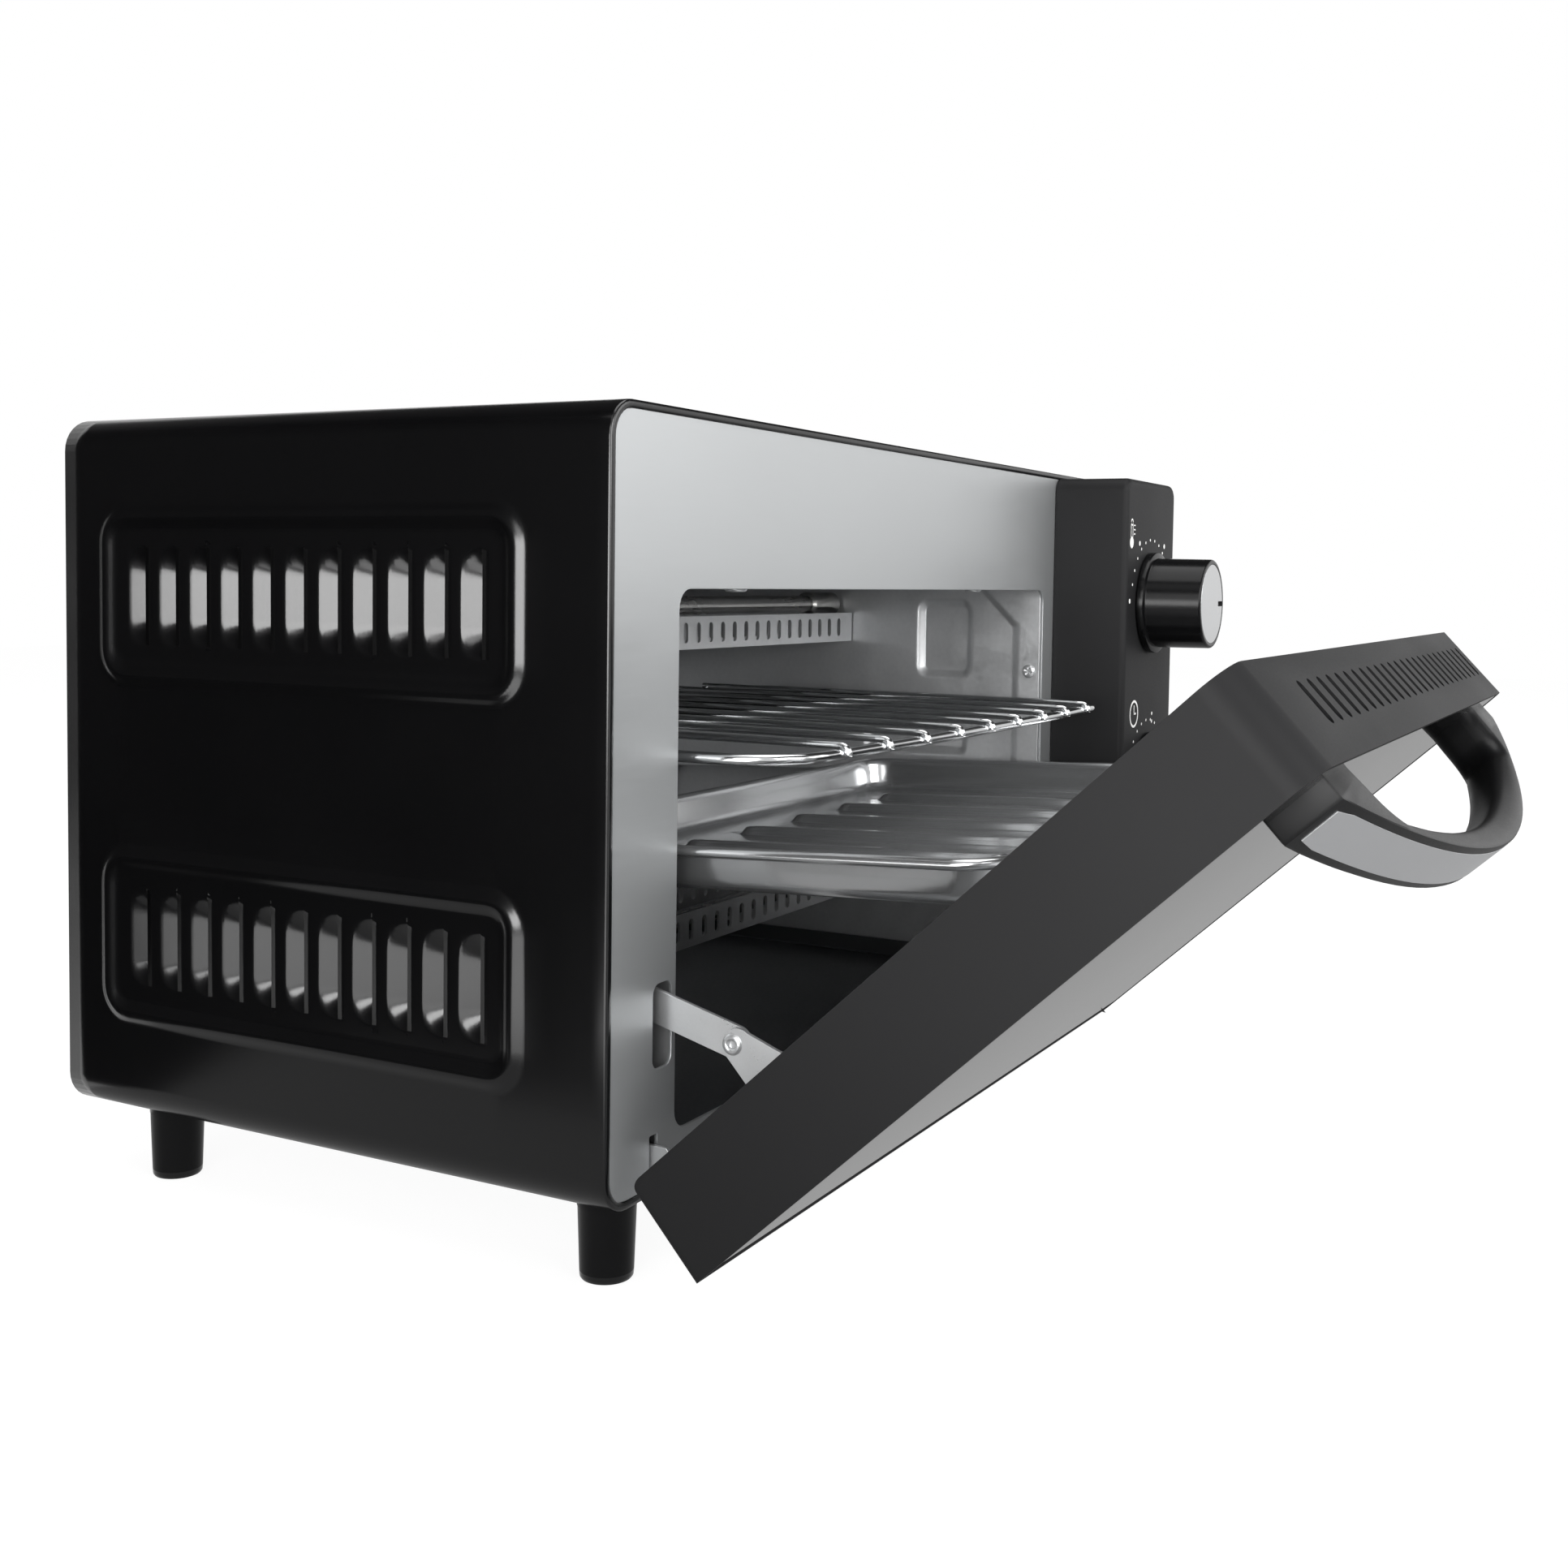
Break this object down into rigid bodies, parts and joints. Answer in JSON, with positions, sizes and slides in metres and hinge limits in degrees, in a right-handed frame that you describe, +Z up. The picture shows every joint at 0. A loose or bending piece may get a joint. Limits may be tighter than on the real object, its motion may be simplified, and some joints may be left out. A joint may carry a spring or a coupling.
{
  "type": "toaster oven",
  "caption": "Countertop toaster oven with a drop-down door half open, a wire rack and baking tray, side vents, two front knobs and short round feet.",
  "frame": {"origin": "on the surface it stands on, under the middle of the whole oven with its door at rest", "axes": "+X to the right of someone facing the door, +Y towards the rear, +Z up"},
  "size_m": [0.3552, 0.3624, 0.211],
  "materials": {
    "shell": "satin",
    "front_steel": "satin",
    "cavity_steel": "satin",
    "bright_steel": "polished",
    "zinc_steel": "satin",
    "heater": "matt",
    "ceramic": "matt",
    "door_paint": "satin",
    "panel_plastic": "satin",
    "black_gloss": "gloss",
    "black_plastic": "satin",
    "rubber": "matt",
    "silver_trim": "satin",
    "front_glass": "gloss",
    "clear_glass": "gloss",
    "tray_steel": "satin",
    "crumb_steel": "satin",
    "case_brown": "matt"
  },
  "bodies": {
    "root": {"outer_shell": "shell", "base_pan": "zinc_steel", "back_panel": "shell", "front_frame": "front_steel", "cavity_left_wall": "cavity_steel", "cavity_right_wall": "cavity_steel", "cavity_roof": "cavity_steel", "cavity_back": "cavity_steel", "heater_upper": "heater", "heater_lower": "heater", "heater_insulators": "ceramic", "guard_upper_front": "cavity_steel", "guard_upper_rear": "cavity_steel", "guard_lower_front": "cavity_steel", "guard_lower_rear": "cavity_steel", "control_panel": "panel_plastic", "thermostat_body": "case_brown", "timer_body": "zinc_steel", "timer_bell": "bright_steel", "hinge_bracket_left": "zinc_steel", "hinge_bracket_right": "zinc_steel", "hinge_pins": "bright_steel", "foot_front_left": "black_gloss", "foot_front_right": "black_gloss", "foot_rear_left": "black_gloss", "foot_rear_right": "black_gloss", "foot_screws": "bright_steel", "cavity_screws": "bright_steel", "back_screws": "bright_steel", "terminal_block": "ceramic", "cord_bushing": "rubber"},
    "door": {"door_shell": "door_paint", "door_front_glass": "front_glass", "door_inner_panel": "zinc_steel", "door_inner_glass": "clear_glass", "door_hinge_left": "zinc_steel", "door_hinge_right": "zinc_steel", "stay_rivets": "bright_steel", "handle_bar": "black_plastic", "handle_trim": "silver_trim", "handle_screws": "bright_steel"},
    "stay_left": {"stay_arm_left": "zinc_steel"},
    "stay_right": {"stay_arm_right": "zinc_steel"},
    "temp_control": {"temp_knob": "black_gloss", "temp_cap": "silver_trim", "temp_shaft": "zinc_steel"},
    "timer_control": {"timer_knob": "black_gloss", "timer_cap": "silver_trim", "timer_shaft": "zinc_steel"},
    "rack": {"wire_rack": "bright_steel"},
    "tray": {"baking_tray": "tray_steel"},
    "crumbs": {"crumb_tray": "crumb_steel"}
  },
  "joints": [
    {"name": "door_hinge", "type": "hinge", "parent": "root", "child": "door", "pos_m": [0, -0.01156, 0.0208], "axis": [1, 0, 0], "range_deg": [-47.2, 29]},
    {"name": "stay_left_pivot", "type": "hinge", "parent": "door", "child": "stay_left", "pos_m": [-0.1515, -0.02256, 0.06029], "axis": [1, 0, 0], "range_deg": [-29.2, 47.4]},
    {"name": "stay_right_pivot", "type": "hinge", "parent": "door", "child": "stay_right", "pos_m": [0.1106, -0.02256, 0.06029], "axis": [1, 0, 0], "range_deg": [-29.2, 47.4]},
    {"name": "rack_slide", "type": "slide", "parent": "root", "child": "rack", "axis": [0, -1, 0], "range_m": [-0.0261, 0.01607]},
    {"name": "tray_slide", "type": "slide", "parent": "root", "child": "tray", "axis": [0, -0.999, 0.0436], "range_m": [-0.0881, 0.05417]},
    {"name": "crumb_slide", "type": "slide", "parent": "root", "child": "crumbs", "axis": [0, 1, 0], "range_m": [0, 0.15]},
    {"name": "temp_turn", "type": "hinge", "parent": "root", "child": "temp_control", "pos_m": [0.1456, -0.03076, 0.163], "axis": [0, 1, 0], "range_deg": [-180, 60]},
    {"name": "timer_turn", "type": "hinge", "parent": "root", "child": "timer_control", "pos_m": [0.1456, -0.03076, 0.094], "axis": [0, 1, 0], "range_deg": [0, 300]}
  ],
  "couplings": [
    {"joint": "stay_left_pivot", "follows": "door_hinge", "ratio": -1},
    {"joint": "stay_right_pivot", "follows": "door_hinge", "ratio": -1},
    {"joint": "rack_slide", "follows": "door_hinge", "m_per_rad": 0.031561},
    {"joint": "tray_slide", "follows": "door_hinge", "m_per_rad": 0.10682}
  ]
}
